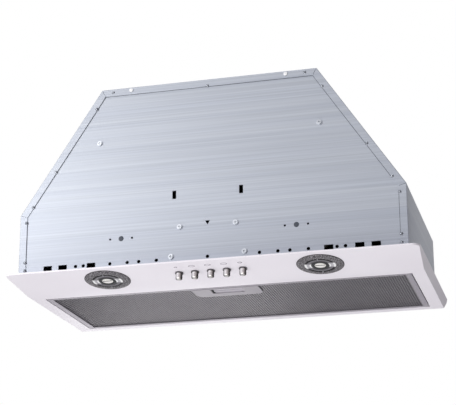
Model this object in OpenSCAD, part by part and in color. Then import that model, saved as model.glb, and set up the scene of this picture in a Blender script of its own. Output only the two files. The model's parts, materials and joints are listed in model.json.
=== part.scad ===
// Built-in range hood: folded steel casing, enamelled fascia tray, swing-down grease filter,
// push-button bank, two downlights, single-inlet blower and a duct collar with twin flaps.
// Millimetres. The origin is the middle of the face that seats under the cabinet; front is -Y.

/* [Fascia panel] */
// Width of the fascia panel
panel_w = 527; // [520:1:600]
// Depth of the fascia panel, front to back
panel_d = 285; // [283:1:330]
// Height of the panel tray below the cabinet
panel_h = 12.4; // [12:0.1:15]
// Sheet thickness of the panel
panel_t = 1; // [0.8:0.1:1.2]
// Height of the upright lip along the front edge
lip_h = 2; // [1.5:0.1:3]
// Depth of the sloping control strip
strip_d = 70; // [66:1:80]
// How far each side skirt leans in
side_lean = 4.8; // [2:0.1:8]
// How far the rear skirt leans in
rear_lean = 9.5; // [4:0.5:12]
// Corner radius at the front, seen from below
front_corner_r = 10; // [6:1:16]
// Corner radius at the back, seen from below
rear_corner_r = 8; // [6:1:14]
// How far the panel reaches out in front of the casing
front_reach = 12.5; // [9:0.5:16]
// Panel border beside the filter opening
side_border = 21.6; // [18:0.1:26]
// Flat border between the control strip and the filter opening
front_border = 18.3; // [14:0.1:24]
// Panel border behind the filter opening
rear_border = 23.1; // [20:0.1:28]
// Height of the upturned rim round the filter opening
rim_h = 4; // [3:0.1:4.5]

/* [Casing] */
// Width of the casing at the bottom
body_w = 499; // [490:1:505]
// Width of the casing at the top
body_top_w = 285; // [260:1:320]
// Depth of the casing
body_d = 254; // [248:1:256]
// Height of the casing above the cabinet seat
body_h = 243; // [238:1:260]
// Height of the upright sides below the sloping shoulders
knee_h = 80; // [72:1:90]
// Sheet thickness of the casing
sheet_t = 1; // [0.8:0.1:1.2]
// Width of the folded edge flanges
flange_w = 9.6; // [9:0.1:12]
// Distance of the seam screws from the edge
seam_in = 8.6; // [7:0.1:9]
// Width of the foot flanges that stand on the panel
foot_w = 12; // [10:0.5:14]

/* [Controls and lamps] */
// Spacing of the push buttons
button_pitch = 20.5; // [18:0.5:22]
// Distance of the button row from the front edge, along the strip
button_u = 30.5; // [28:0.5:34]
// Radius of a push button
button_r = 4.3; // [3.8:0.1:4.8]
// How far a button stands out of the strip
button_out = 9; // [6:0.5:11]
// How far a button travels when pushed
button_travel = 3; // [2:0.5:3.5]
// Sideways distance of each lamp from the middle
lamp_x = 137; // [125:1:150]
// Distance of the lamps from the front edge, along the strip
lamp_u = 35.7; // [35:0.1:38]
// Outer radius of a lamp bezel
lamp_r = 28.8; // [26:0.1:31]
// Radius of the lamp's clear opening
lamp_eye_r = 19.5; // [17:0.1:19.6]

/* [Filter] */
// Gap between the filter and the rim of its opening
filter_gap = 1.5; // [1:0.1:2]
// Thickness of the filter
filter_h = 8; // [8:0.1:9]
// Width of the filter's side rails
rail_side = 7; // [5:0.5:10]
// Width of the filter's front and rear rails
rail_end = 5; // [4:0.5:6]
// Width of the handle plate
handle_w = 88; // [70:1:110]
// Depth of the handle plate
handle_d = 37; // [34:1:42]
// Travel of the latch
latch_travel = 7; // [5.5:0.5:7.5]

/* [Blower and outlet] */
// Outer radius of the fan wheel
wheel_r = 62; // [56:1:63]
// Width of the blower scroll inside
scroll_w = 110; // [102:1:116]
// Height of the fan axis
fan_z = 108; // [104:1:112]
// Radius of the motor
motor_r = 42; // [36:1:44]
// Length of the motor
motor_len = 48; // [40:1:60]
// Outer radius of the duct collar
collar_r = 59.25; // [55:0.25:62]
// Height of the duct collar
collar_h = 32; // [28:1:40]

/* [Hidden] */
$fn = 64;
eps = 0.01;
// Clearances
screw_clear = 0.2;
slide_clear = 0.3;
run_clear = 0.06;
seat_gap = 0.02;
seat_drop = 0.3;

// The outer panel tray
body_front = -body_d / 2;
body_rear = body_d / 2;
panel_front = body_front - front_reach;
panel_rear = panel_front + panel_d;
strip_angle = atan((panel_h - lip_h) / strip_d);
open_x = panel_w / 2 - side_border;
open_front = panel_front + strip_d + front_border;
open_rear = panel_rear - rear_border;
// The opening in the tray's top flange, just inside the casing's feet
seat_x = body_w / 2 - sheet_t - foot_w - 1;
seat_front = body_front + 2 * sheet_t;
seat_rear = body_rear - 2 * sheet_t - foot_w - 1;

// The casing's sloping shoulders, and the seam screws along its edges
knee = [body_w / 2, knee_h];
shoulder_top = [body_top_w / 2, body_h];
shoulder_len = norm(shoulder_top - knee);
seam_screw_r = 1.3;
seam_head_r = 2.1;
seam_head_h = 1.2;
top_hole = [102.5, body_h - 4];
top_hole_r = 1.6;
top_screw = [127, body_h - 4.5];
mitre_gap = 0.5;

// Screws that show on the front sheet, each as [x, z]
brace_screw = [144, 169.4];
box_screw = [36, 48];
bracket_screw = [47, 10];
front_screw_r = 1.8;
front_head_r = 3.4;
front_head_h = 2;
front_screw_len = 7;
seam_screw_len = 6;

// Openings in the front sheet, each as [x, z] of its centre
tab_slot = [43.3, 90.9];
tab_slot_size = [5, 11];
fixing_hole = [112.7, 38.9];
fixing_hole_r = 3.4;
pilot_spacing = 29;
pilot_r = 1.4;
vent_z = 7.1;
vent_slot_x = [152, 190, 210];
vent_slot_size = [11.4, 6.2];
vent_hole_x = [66, 89, 104, 127, 162.3, 172.6];
vent_hole_r = 2.2;
centre_mark = [0, 51.9];
centre_mark_r = 3.6;

// Feet of the casing and their screws
foot_z = -seat_drop;
foot_top = foot_z + sheet_t;
foot_screw_x = body_w / 2 - sheet_t - foot_w / 2;
foot_screw_y = body_rear - 2 * sheet_t - foot_w / 2;
foot_screw_gap = 80;
foot_screw_r = 1.5;
foot_head_r = 2.8;
foot_head_h = 1.6;
foot_screw_len = 4;
side_foot_len = 2 * (seat_rear - 1);
rear_foot_len = 2 * (seat_x - 5);

// Push buttons, from the strip's outer face; up is away from the user
button_names = 5;
collar_lip_r = button_r + 0.9;
collar_lip_h = 1.4;
collar_sleeve_r = button_r + 0.5;
collar_sleeve_top = panel_t + 1;
stop_r = button_r + 1;
stop_z = collar_sleeve_top + 0.2;
stop_h = 1.2;
stem_r = 2;
switch_z = stop_z + stop_h + button_travel + 0.6;
switch_h = 20;
switch_d = 16;
switch_w = (button_names - 1) * button_pitch + 24;
stem_in = 7;
board_t = 1.6;
bracket_t = 1.2;
bracket_leg = 12;
ear_w = 13;
ear_h = 12;

// Lamps, from the strip's outer face
lamp_neck_r = lamp_eye_r + 1.3;
lamp_seat_r = lamp_eye_r + 0.5;
bezel_rim = 0.8;
bezel_h = 2.2;
glass_t = 2.2;
reflector_t = 0.8;
reflector_back = 17;
reflector_neck_r = 9.4;
bulb_r = 7.4;
bulb_front = 5.5;
holder_r = 9;
holder_len = 12;
clip_w = 3;

// Swing-down filter
filter_x = open_x - filter_gap;
filter_front = open_front + filter_gap;
filter_rear = open_rear - filter_gap;
filter_bottom = -panel_h;
filter_top = filter_bottom + filter_h;
frame_t = 0.8;
mesh_t = 1;
hinge_in = 3.4;
hinge_y = filter_rear - hinge_in;
hinge_z = filter_bottom + 3;
hinge_pin_r = 1.5;
hinge_plate_t = 1.5;
hinge_plate_x = open_x + panel_t + 0.2;
hinge_plate_d = 12;
hinge_plate_h = 7;
hinge_foot_w = 9;

// Handle plate, its finger cup and the sliding latch
plate_front = filter_front + rail_end;
plate_low = filter_bottom - 0.5;
plate_corner_r = 9;
cup_x = 1;
cup_w = 42;
cup_front = plate_front + 3.7;
cup_d = 19;
cup_t = 1;
cup_top = filter_top - 1.2;
latch_w = 16;
latch_t = 1.5;
latch_z = filter_bottom + rim_h + 0.2;
latch_tip = open_front - 4.8;
latch_tail = cup_front + cup_d + 4;
block_left = 3;
block_d = 10.7;
block_low = plate_low + cup_t + 0.5;
finger_rib = 2;
spring_r = 1.5;
spring_wire_r = 0.25;
spring_turns = 9;
spring_x = cup_x + cup_w / 2 - 7;
spring_z = latch_z - 0.8;
spring_bore_r = 1.9;
spring_front = cup_front + slide_clear + 2;
spring_len = cup_front + cup_d - spring_front - 2 * spring_wire_r;
spring_steps = 14;
spring_sides = 6;
spring_rings = spring_steps * spring_turns;
stud_x = handle_w / 2 - 8;
stud_y = plate_front + handle_d / 2 + 2;
stud_r = 1.5;
nut_r = 4;
nut_t = 0.7;

// Blower: the axis runs along X
fan_y = -10;
scroll_t = 1;
scroll_side_t = 1.2;
scroll_r_min = wheel_r + 6;
scroll_r_max = wheel_r + 24;
duct_d = 104;
duct_top = body_h - sheet_t;
duct_rear = fan_y + scroll_r_max;
duct_front = duct_rear - duct_d;
scroll_lip = 6;
duct_flange_w = 18;
side_x = scroll_w / 2 + scroll_side_t;
inlet_r = 54;
throat_r = 48;
throat_bend_r = 6;
wheel_left = -scroll_w / 2 + 7;
wheel_right = scroll_w / 2 - 11;
wheel_hub_r = 10;
wheel_hub_len = 20;
wheel_disc_t = 2;
wheel_ring_t = 2;
wheel_eye_r = wheel_r - 12;
blade_count = 36;
blade_t = 1;
blade_lean = 35;
blade_w = 11;
shaft_r = 4;
grommet_t = 3;
grommet_r = 6;
spider_t = 1.5;
spider_ring_r = 18;
spider_foot_r = motor_r + 18;
spider_arm_w = 14;
motor_x = side_x + grommet_t + spider_t;
bell_len = 14;
motor_screw_r = 2;
motor_head_r = 4;
motor_head_h = 2;

// Brace from the front sheet to the blower
brace_t = 1.2;
brace_h = 15;
brace_half = brace_screw[0] + 9;
brace_back = fan_y - 35;

// Duct collar, centred over the blower's duct
collar_y = (duct_rear + duct_front) / 2;
collar_t = 1;
collar_bore_r = collar_r - collar_t;
collar_foot_r = collar_r + 2.5;
collar_neck_r = collar_r + 1.5;
collar_ring_r = collar_r + 13;
collar_ring_t = 1.6;
collar_screw_r = collar_r + 6.75;
collar_hole_r = 1.6;
collar_head_r = 3;
collar_head_h = 1.8;
collar_screw_len = 8;
ledge_w = 1.8;
ledge_h = 1.2;
ledge_len = 40;
ledge_gap = 0.3;
flap_z = body_h + 11;
flap_t = 1;
flap_gap = 0.6;
flap_start = 3.4;
flap_pin_r = 1.5;
knuckle_r = 2.8;
knuckle_count = 6;
knuckle_gap = 0.5;
knuckle_len = 15;

// Electrical pieces
box_w = 96;
box_z = [30, 66];
box_d = 32;
box_t = 1.2;
box_front = body_front + 2 * sheet_t;
capacitor_r = 13;
capacitor_len = 38;
terminal_size = [34, 14, 16];
transformer_size = [70, 32, 28];
transformer_pos = [-180, 6];
gland_pos = [105, 60];
gland_r = 8;
gland_bore_r = 4;
gland_flange_r = 11;
gland_up = 9;
gland_down = 14;
lead_r = 2;

// ---- Helpers ----
function unit(v) = v / norm(v);
function left_of(v) = [-v[1], v[0]];

// An anticlockwise outline moved inwards by d
function inset(pts, d) = [for (i = [0:len(pts) - 1])
    let (before = pts[(i + len(pts) - 1) % len(pts)])
    let (after = pts[(i + 1) % len(pts)])
    let (n1 = left_of(unit(pts[i] - before)))
    let (n2 = left_of(unit(after - pts[i])))
    pts[i] + d * (n1 + n2) / (1 + n1 * n2)];

// Casing seen from the front, moved inwards by d, with its lower edge brought down by drop
function casing_pts(d, drop = 0) = inset([
    [-body_w / 2, foot_z - d - drop], [body_w / 2, foot_z - d - drop], knee,
    shoulder_top, [-shoulder_top[0], body_h], [-body_w / 2, knee_h]], d);

// Panel tray seen from the side as [y, z], and from the front as [x, z]
function tray_side_pts(d) = inset([
    [panel_rear, 0], [panel_front, 0], [panel_front, -lip_h],
    [panel_front + strip_d, -panel_h], [panel_rear - rear_lean, -panel_h]], d);
function tray_front_pts(d) = inset([
    [-panel_w / 2, 0], [-panel_w / 2 + side_lean, -panel_h],
    [panel_w / 2 - side_lean, -panel_h], [panel_w / 2, 0]], d);

// Blower scroll as [y, z]: the wall winds out from the cutoff to the rear of the duct
function scroll_radius(turn) = scroll_r_max - (scroll_r_max - scroll_r_min) * turn / 270;
function scroll_pts(top) = concat(
    [[duct_rear, top], [duct_front, top], [duct_front, fan_z + scroll_r_min + 20]],
    [for (turn = [270:-9:0])
        [fan_y + scroll_radius(turn) * cos(turn), fan_z - scroll_radius(turn) * sin(turn)]]);

// Seam screws as [x, z]: right side first, then its mirror image, then the middle of the top
function seam_right() = concat(
    [for (d = [18, 72, shoulder_len - 25])
        knee + d * unit(shoulder_top - knee) + seam_in * left_of(unit(shoulder_top - knee))],
    [for (z = [6, 16.5, knee_h - 10.5]) [body_w / 2 - seam_in, z]],
    [top_screw]);
function seam_at() = concat(
    seam_right(), [for (p = seam_right()) [-p[0], p[1]]], [[0, body_h - seam_in]]);

// An outline of [x, z] points stood up from y0 towards the back
module upright(y0, depth) {
    translate([0, y0 + depth, 0]) rotate([90, 0, 0]) linear_extrude(depth) children();
}

// An outline of [y, z] points run along X from x0
module crosswise(x0, width) {
    translate([x0, 0, 0]) rotate([90, 0, 90]) linear_extrude(width) children();
}

// A solid round along X, Y or Z, from its low end
module rod_x(x0, len, r) {
    translate([x0, 0, 0]) rotate([0, 90, 0]) cylinder(r = r, h = len);
}
module rod_y(y0, len, r) {
    translate([0, y0 + len, 0]) rotate([90, 0, 0]) cylinder(r = r, h = len);
}

// A block from its low corner to its high corner
module block(low, high) {
    translate(low) cube(high - low);
}

// A place on the control strip: Z then points up through the panel, square to the strip
module on_strip(x, u) {
    translate([x, panel_front, -lip_h]) rotate([-strip_angle, 0, 0]) translate([0, u, 0]) children();
}

// The fan's axis along X
module on_fan() {
    translate([0, fan_y, fan_z]) children();
}

module both_sides() {
    children();
    mirror([1, 0, 0]) children();
}

// A domed screw head with its flat side at z = 0, and its shank below
module domed_screw(head_r, head_h, shank_r, shank_len) {
    dome_r = (head_r * head_r + head_h * head_h) / (2 * head_h);
    rotate_extrude() intersection() {
        translate([0, head_h - dome_r]) circle(dome_r);
        square([head_r, head_h]);
    }
    translate([0, 0, -shank_len]) cylinder(r = shank_r, h = shank_len);
}

// A cross-recessed pan head screw, drawn the same way
module pan_screw(head_r, head_h, shank_r, shank_len) {
    difference() {
        union() {
            cylinder(r = head_r, h = head_h * 0.6);
            translate([0, 0, head_h * 0.6]) cylinder(r = head_r * 0.8, h = head_h * 0.4);
            translate([0, 0, -shank_len]) cylinder(r = shank_r, h = shank_len);
        }
        for (a = [0, 90]) rotate([0, 0, a])
            translate([-head_r * 0.5, -head_r * 0.11, head_h * 0.45])
                cube([head_r, head_r * 0.22, head_h]);
    }
}

// A round lead that runs through the given points
module lead(pts, r) {
    for (i = [0:len(pts) - 2]) {
        v = pts[i + 1] - pts[i];
        translate(pts[i]) rotate([0, acos(v[2] / norm(v)), atan2(v[1], v[0])])
            cylinder(r = r, h = norm(v), $fn = 24);
        if (i > 0) translate(pts[i]) sphere(r, $fn = 24);
    }
}

// ---- Casing ----
// Slits where the flanges of two neighbouring edges meet at a bend
module mitre_slits() {
    for (i = [2:5]) {
        start = casing_pts(1.5 * sheet_t)[i];
        run = casing_pts(flange_w + 1)[i] - start;
        translate(start) rotate(atan2(run[1], run[0])) translate([0, -mitre_gap / 2])
            square([norm(run), mitre_gap]);
    }
}

module casing_wrap() color("#c3c9d2") difference() {
    union() {
        upright(body_front, body_d) difference() {
            polygon(casing_pts(0));
            polygon(casing_pts(sheet_t, 1));
        }
        for (y = [body_front, body_rear - sheet_t]) upright(y, sheet_t) difference() {
            polygon(casing_pts(0));
            polygon(casing_pts(flange_w, 1));
            mitre_slits();
        }
        both_sides() block(
            [body_w / 2 - sheet_t - foot_w, -side_foot_len / 2, foot_z],
            [body_w / 2 - sheet_t / 2, side_foot_len / 2, foot_top]);
    }
    upright(body_front - 1, body_d + 2) for (p = seam_at()) translate(p)
        circle(seam_screw_r + screw_clear);
    upright(body_front - 1, sheet_t + 1.5) for (s = [-1, 1]) translate([s * top_hole[0], top_hole[1]])
        circle(top_hole_r);
    translate([0, collar_y, body_h - sheet_t - 1]) {
        cylinder(r = collar_bore_r, h = sheet_t + 2);
        for (a = [0:90:270]) rotate([0, 0, a]) translate([collar_screw_r, 0, 0])
            cylinder(r = collar_hole_r + screw_clear, h = sheet_t + 2);
    }
    translate([gland_pos[0], gland_pos[1], body_h - sheet_t - 1])
        cylinder(r = gland_r + screw_clear, h = sheet_t + 2);
    foot_screw_holes();
}

module foot_screw_places() {
    for (y = [-foot_screw_gap, 0, foot_screw_gap]) both_sides()
        translate([foot_screw_x, y, foot_top]) children();
    for (x = [-2 * foot_screw_gap, 0, 2 * foot_screw_gap])
        translate([x, foot_screw_y, foot_top]) children();
}

module foot_screw_holes() {
    foot_screw_places() translate([0, 0, -sheet_t - panel_t - 1])
        cylinder(r = foot_screw_r + screw_clear, h = sheet_t + panel_t + 2);
}

module front_sheet() color("#cfd4dc") upright(body_front + sheet_t, sheet_t) difference() {
    polygon(casing_pts(sheet_t));
    for (p = seam_at()) translate(p) circle(seam_screw_r + screw_clear);
    for (s = [-1, 1]) {
        for (p = [brace_screw, box_screw, bracket_screw]) translate([s * p[0], p[1]])
            circle(front_screw_r + screw_clear);
        translate([s * tab_slot[0], tab_slot[1]]) square(tab_slot_size, center = true);
        translate([s * fixing_hole[0], fixing_hole[1]]) circle(fixing_hole_r);
        for (side = [-0.5, 0.5])
            translate([s * fixing_hole[0] + side * pilot_spacing, fixing_hole[1]]) circle(pilot_r);
        for (x = vent_slot_x) translate([s * x, vent_z]) square(vent_slot_size, center = true);
        for (x = vent_hole_x) translate([s * x, vent_z]) circle(vent_hole_r);
    }
    translate([0, vent_z]) circle(vent_hole_r);
    translate(centre_mark) rotate(-90) circle(centre_mark_r, $fn = 3);
}

module rear_sheet() color("#bfc5ce") difference() {
    union() {
        upright(body_rear - 2 * sheet_t, sheet_t) polygon(casing_pts(sheet_t));
        block([-rear_foot_len / 2, body_rear - 2 * sheet_t - foot_w, foot_z],
            [rear_foot_len / 2, body_rear - 1.5 * sheet_t, foot_top]);
    }
    upright(body_rear - 3 * sheet_t, 3 * sheet_t) for (p = seam_at()) translate(p)
        circle(seam_screw_r + screw_clear);
    foot_screw_holes();
}

module seam_screws() color("#d9dde3") for (p = seam_at()) {
    translate([p[0], body_front, p[1]]) rotate([90, 0, 0])
        domed_screw(seam_head_r, seam_head_h, seam_screw_r, seam_screw_len);
    translate([p[0], body_rear, p[1]]) rotate([-90, 0, 0])
        domed_screw(seam_head_r, seam_head_h, seam_screw_r, seam_screw_len);
}

module front_screws() color("#eceef2") both_sides() for (p = [brace_screw, box_screw, bracket_screw])
    translate([p[0], body_front + sheet_t, p[1]]) rotate([90, 0, 0])
        pan_screw(front_head_r, front_head_h, front_screw_r, front_screw_len);

module foot_screws() color("#b9bec6") foot_screw_places()
    pan_screw(foot_head_r, foot_head_h, foot_screw_r, foot_screw_len);

// ---- Fascia panel ----
module tray_plan(d) {
    x = panel_w / 2 - d;
    front_r = front_corner_r - d;
    rear_r = rear_corner_r - d;
    translate([-x, panel_front + d + front_r])
        square([2 * x, panel_d - 2 * d - front_r - rear_r]);
    translate([-x + front_r, panel_front + d]) square([2 * (x - front_r), front_r]);
    translate([-x + rear_r, panel_rear - d - rear_r]) square([2 * (x - rear_r), rear_r]);
    for (s = [-1, 1]) {
        translate([s * (x - front_r), panel_front + d + front_r]) circle(front_r);
        translate([s * (x - rear_r), panel_rear - d - rear_r]) circle(rear_r);
    }
}

module tray_solid(d) intersection() {
    crosswise(-panel_w / 2, panel_w) polygon(tray_side_pts(d));
    upright(panel_front, panel_d) polygon(tray_front_pts(d));
    translate([0, 0, -panel_h - 1]) linear_extrude(panel_h + 2) tray_plan(d);
}

module filter_hole(grow, low, high) {
    block([-open_x - grow, open_front - grow, low], [open_x + grow, open_rear + grow, high]);
}

module fascia_panel() color("#e8e3ea") difference() {
    union() {
        difference() {
            tray_solid(0);
            tray_solid(panel_t);
        }
        filter_hole(panel_t, -panel_h, -panel_h + rim_h);
    }
    filter_hole(0, -panel_h - 1, -panel_h + rim_h + 1);
    block([-seat_x, seat_front, -panel_t - 0.5], [seat_x, seat_rear, 1]);
    block([-body_w / 2 - slide_clear, body_front - slide_clear, foot_z],
        [body_w / 2 + slide_clear, body_rear + slide_clear, 1]);
    both_sides() {
        block([open_x - 1, hinge_y - hinge_pin_r - 1, hinge_z - hinge_pin_r - slide_clear],
            [open_x + panel_t + 1, hinge_y + hinge_pin_r + 1, -panel_h + rim_h + 1]);
        on_strip(lamp_x, lamp_u) translate([0, 0, -1])
            cylinder(r = lamp_neck_r + screw_clear, h = panel_t + 2);
    }
    for (i = [0:button_names - 1]) on_button(i) translate([0, 0, -1])
        cylinder(r = collar_sleeve_r + screw_clear / 2, h = panel_t + 2);
    foot_screw_holes();
}

// ---- Lamps ----
// Ring whose flange lies under the strip and whose neck stands up through it
module lamp_bezel(side) color("#8f8c92") on_strip(side * lamp_x, lamp_u) rotate_extrude() polygon([
    [lamp_r, -seat_gap], [lamp_neck_r, -seat_gap], [lamp_neck_r, panel_t + 3], [lamp_seat_r, panel_t + 3],
    [lamp_seat_r, -bezel_rim], [lamp_eye_r, -bezel_rim], [lamp_eye_r, -bezel_h],
    [lamp_r - 3, -bezel_h + 0.4], [lamp_r, -bezel_rim]]);

module lamp_glass(side) color("#f2f4f6", 0.4) on_strip(side * lamp_x, lamp_u)
    translate([0, 0, seat_gap - bezel_rim]) cylinder(r = lamp_seat_r - seat_gap, h = glass_t - seat_gap);

// Bowl that narrows from the glass to the bulb's holder
module lamp_reflector(side) color("#d6d6da") on_strip(side * lamp_x, lamp_u)
    translate([0, 0, glass_t - bezel_rim]) rotate_extrude() polygon([
        [lamp_eye_r, 0], [lamp_eye_r, 1], [lamp_eye_r * 0.86, reflector_back * 0.55],
        [reflector_neck_r + 2 * reflector_t, reflector_back],
        [reflector_neck_r, reflector_back],
        [lamp_eye_r * 0.86 - 2 * reflector_t, reflector_back * 0.55 - reflector_t],
        [lamp_eye_r - reflector_t, 0]]);

module lamp_bulb(side) color("#f4f2ea") on_strip(side * lamp_x, lamp_u)
    translate([0, 0, bulb_front]) rotate_extrude() union() {
        intersection() {
            translate([0, bulb_r]) circle(bulb_r);
            square([bulb_r, bulb_r]);
        }
        translate([0, bulb_r - eps])
            square([bulb_r, glass_t - bezel_rim + reflector_back - bulb_front - bulb_r + eps]);
    }

module lamp_holders() color("#e6e2d8") both_sides() on_strip(lamp_x, lamp_u)
    translate([0, 0, glass_t - bezel_rim + reflector_back]) cylinder(r = holder_r, h = holder_len);

// Two small springs per lamp that bear on the panel and on the bezel's neck
module lamp_clips() color("#c9ccd2") both_sides() on_strip(lamp_x, lamp_u) for (a = [-1, 1]) {
    translate([a * (lamp_neck_r + 0.5), 0, panel_t + 1.5]) cube([1, clip_w, 3], center = true);
    translate([a * (lamp_neck_r + 3), 0, panel_t + 0.5]) cube([6, clip_w, 1], center = true);
}

// ---- Push buttons and switch bank ----
module on_button(i) {
    on_strip((i - (button_names - 1) / 2) * button_pitch, button_u) children();
}

module button_collars() color("#77747a") for (i = [0:button_names - 1]) on_button(i) difference() {
    union() {
        translate([0, 0, -collar_lip_h]) cylinder(r = collar_lip_r, h = collar_lip_h - seat_gap);
        translate([0, 0, -collar_lip_h])
            cylinder(r = collar_sleeve_r, h = collar_sleeve_top + collar_lip_h);
    }
    translate([0, 0, -collar_lip_h - 1])
        cylinder(r = button_r + run_clear, h = collar_sleeve_top + collar_lip_h + 2);
}

module push_button(i) color("#d2d0cc") on_button(i) difference() {
    union() {
        rotate_extrude() polygon([
            [0, -button_out], [button_r - 0.6, -button_out], [button_r, -button_out + 0.6],
            [button_r, stop_z], [stop_r, stop_z], [stop_r, stop_z + stop_h],
            [stem_r, stop_z + stop_h], [stem_r, switch_z + stem_in], [0, switch_z + stem_in]]);
    }
    translate([0, 0, -button_out - 5.6]) sphere(6);
}

module switch_housing() color("#2f3136") on_strip(0, button_u) difference() {
    block([-switch_w / 2, -switch_d / 2, switch_z], [switch_w / 2, switch_d / 2, switch_z + switch_h]);
    for (i = [0:button_names - 1]) translate([(i - (button_names - 1) / 2) * button_pitch, 0, switch_z - 1])
        cylinder(r = stem_r + run_clear, h = stem_in + button_travel + 3);
}

// Plate behind the strip, with end legs that hold the switch bank and ears on the front sheet
module switch_bracket() color("#b4b9c1") {
    half_w = switch_w / 2 + slide_clear / 3 + bracket_t;
    difference() {
        on_strip(0, button_u) {
            difference() {
                block([-half_w, -switch_d / 2 - 2, panel_t], [half_w, switch_d / 2 + 2, panel_t + bracket_t]);
                for (i = [0:button_names - 1])
                    translate([(i - (button_names - 1) / 2) * button_pitch, 0, 0])
                        cylinder(r = stop_r + 1, h = 5);
            }
            both_sides() block([half_w - bracket_t, -switch_d / 2, panel_t],
                [half_w, switch_d / 2, switch_z + bracket_leg]);
        }
    }
    both_sides() difference() {
        union() {
            block([half_w - ear_w, box_front, bracket_screw[1] - ear_h / 2],
                [half_w, box_front + bracket_t, bracket_screw[1] + ear_h / 2]);
            block([half_w - bracket_t, box_front, bracket_screw[1] - ear_h / 2],
                [half_w, panel_front + button_u, bracket_screw[1] + ear_h / 2]);
        }
        translate([bracket_screw[0], 0, bracket_screw[1]])
            rod_y(box_front - 1, bracket_t + 2, front_screw_r + screw_clear);
    }
}

// Closes the switch bank and carries its terminal tabs
module switch_board() color("#6b4a2b") on_strip(0, button_u) translate([0, 0, switch_z + switch_h]) {
    block([-switch_w / 2, -switch_d / 2, 0], [switch_w / 2, switch_d / 2, board_t]);
    for (i = [0:button_names]) translate([(i - button_names / 2) * button_pitch * 0.85, 0, board_t])
        block([-2.4, -0.4, -eps], [2.4, 0.4, 5]);
}

// ---- Electrical box ----
module control_box() color("#c4c9d1") difference() {
    block([-box_w / 2, box_front, box_z[0]], [box_w / 2, box_front + box_d, box_z[1]]);
    block([-box_w / 2 + box_t, box_front + box_t, box_z[0] + box_t],
        [box_w / 2 - box_t, box_front + box_d + 1, box_z[1] - box_t]);
    both_sides() translate([box_screw[0], 0, box_screw[1]])
        rod_y(box_front - 1, box_t + 2, front_screw_r + screw_clear);
    upright(box_front - 1, box_t + 2) translate(centre_mark) rotate(-90) circle(centre_mark_r, $fn = 3);
}

module control_box_lid() color("#b4b9c1") {
    block([-box_w / 2, box_front + box_d, box_z[0]], [box_w / 2, box_front + box_d + box_t, box_z[1]]);
}

module terminal_block() color("#f0efe9") {
    x = -box_w / 2 + box_t;
    z = box_z[1] - box_t - terminal_size[2];
    y = box_front + box_d - terminal_size[1];
    difference() {
        block([x, y, z], [x + terminal_size[0], y + terminal_size[1], z + terminal_size[2]]);
        for (i = [0:2]) translate([x + terminal_size[0] * (i + 0.5) / 3, 0, z + terminal_size[2] / 2])
            rod_y(y - 1, 8, 2.2);
    }
}

module capacitor() color("#d9d9dc") translate([
    box_w / 2 - box_t - capacitor_len - 1, box_front + box_d - capacitor_r, (box_z[0] + box_z[1]) / 2])
    rod_x(0, capacitor_len, capacitor_r);

module lamp_transformer() color("#3c3f45") {
    y = body_rear - 2 * sheet_t;
    block([transformer_pos[0], y - transformer_size[1], transformer_pos[1]],
        [transformer_pos[0] + transformer_size[0], y, transformer_pos[1] + transformer_size[2]]);
}

module cable_gland() color("#33353a") translate([gland_pos[0], gland_pos[1], body_h]) difference() {
    union() {
        translate([0, 0, -gland_down]) cylinder(r = gland_r, h = gland_down + gland_up - 2);
        cylinder(r = gland_flange_r, h = 3);
        translate([0, 0, -sheet_t - 4]) cylinder(r = gland_flange_r, h = 4, $fn = 6);
        translate([0, 0, 3]) cylinder(r = gland_r + 1.5, h = gland_up - 3, $fn = 12);
    }
    translate([0, 0, -gland_down - 1]) cylinder(r = gland_bore_r, h = gland_down + gland_up + 2);
}

module internal_wiring() {
    low_y = box_front + box_d * 0.55;
    out_x = motor_x + motor_len;
    color("#8c3b2e") lead([
        [out_x, fan_y - 30, fan_z], [out_x + 8, fan_y - 30, fan_z], [out_x + 8, low_y, fan_z],
        [out_x + 8, low_y, box_z[1] - 8], [box_w / 2, low_y, box_z[1] - 8]], lead_r);
    color("#d8d4c8") both_sides() lead([
        [box_w / 2, lamp_lead_y(), box_z[0] + 8], [lamp_x, lamp_lead_y(), box_z[0] + 8],
        [lamp_x, lamp_lead_y(), lamp_top_z()]], lead_r);
    color("#4a4d55") lead([
        [0, switch_top_y(), switch_top_z()], [0, switch_top_y(), box_z[0]]], lead_r);
}

// Middle of a lamp holder's back, and of the switch board's face
function lamp_axis() = glass_t - bezel_rim + reflector_back + holder_len;
function lamp_lead_y() = panel_front + lamp_u * cos(strip_angle) + lamp_axis() * sin(strip_angle);
function lamp_top_z() = -lip_h - lamp_u * sin(strip_angle) + lamp_axis() * cos(strip_angle)
    + lead_r * sin(strip_angle);
function switch_axis() = switch_z + switch_h + board_t;
function switch_top_y() = panel_front + button_u * cos(strip_angle) + switch_axis() * sin(strip_angle);
function switch_top_z() = -lip_h - button_u * sin(strip_angle) + switch_axis() * cos(strip_angle)
    + lead_r * sin(strip_angle);

// ---- Blower ----
module blower_brace() color("#b4b9c1") difference() {
    union() {
        block([-brace_half, box_front, brace_screw[1] - brace_h / 2],
            [brace_half, box_front + brace_t, brace_screw[1] + brace_h / 2]);
        both_sides() block([side_x, box_front, brace_screw[1] - brace_h / 2],
            [side_x + brace_t, brace_back, brace_screw[1] + brace_h / 2]);
    }
    both_sides() translate([brace_screw[0], 0, brace_screw[1]])
        rod_y(box_front - 1, brace_t + 2, front_screw_r + screw_clear);
}

module duct_screw_holes() {
    translate([0, collar_y, body_h - 6]) for (a = [0:90:270]) rotate([0, 0, a])
        translate([collar_screw_r, 0, 0]) cylinder(r = collar_hole_r + screw_clear, h = 8);
}

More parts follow.
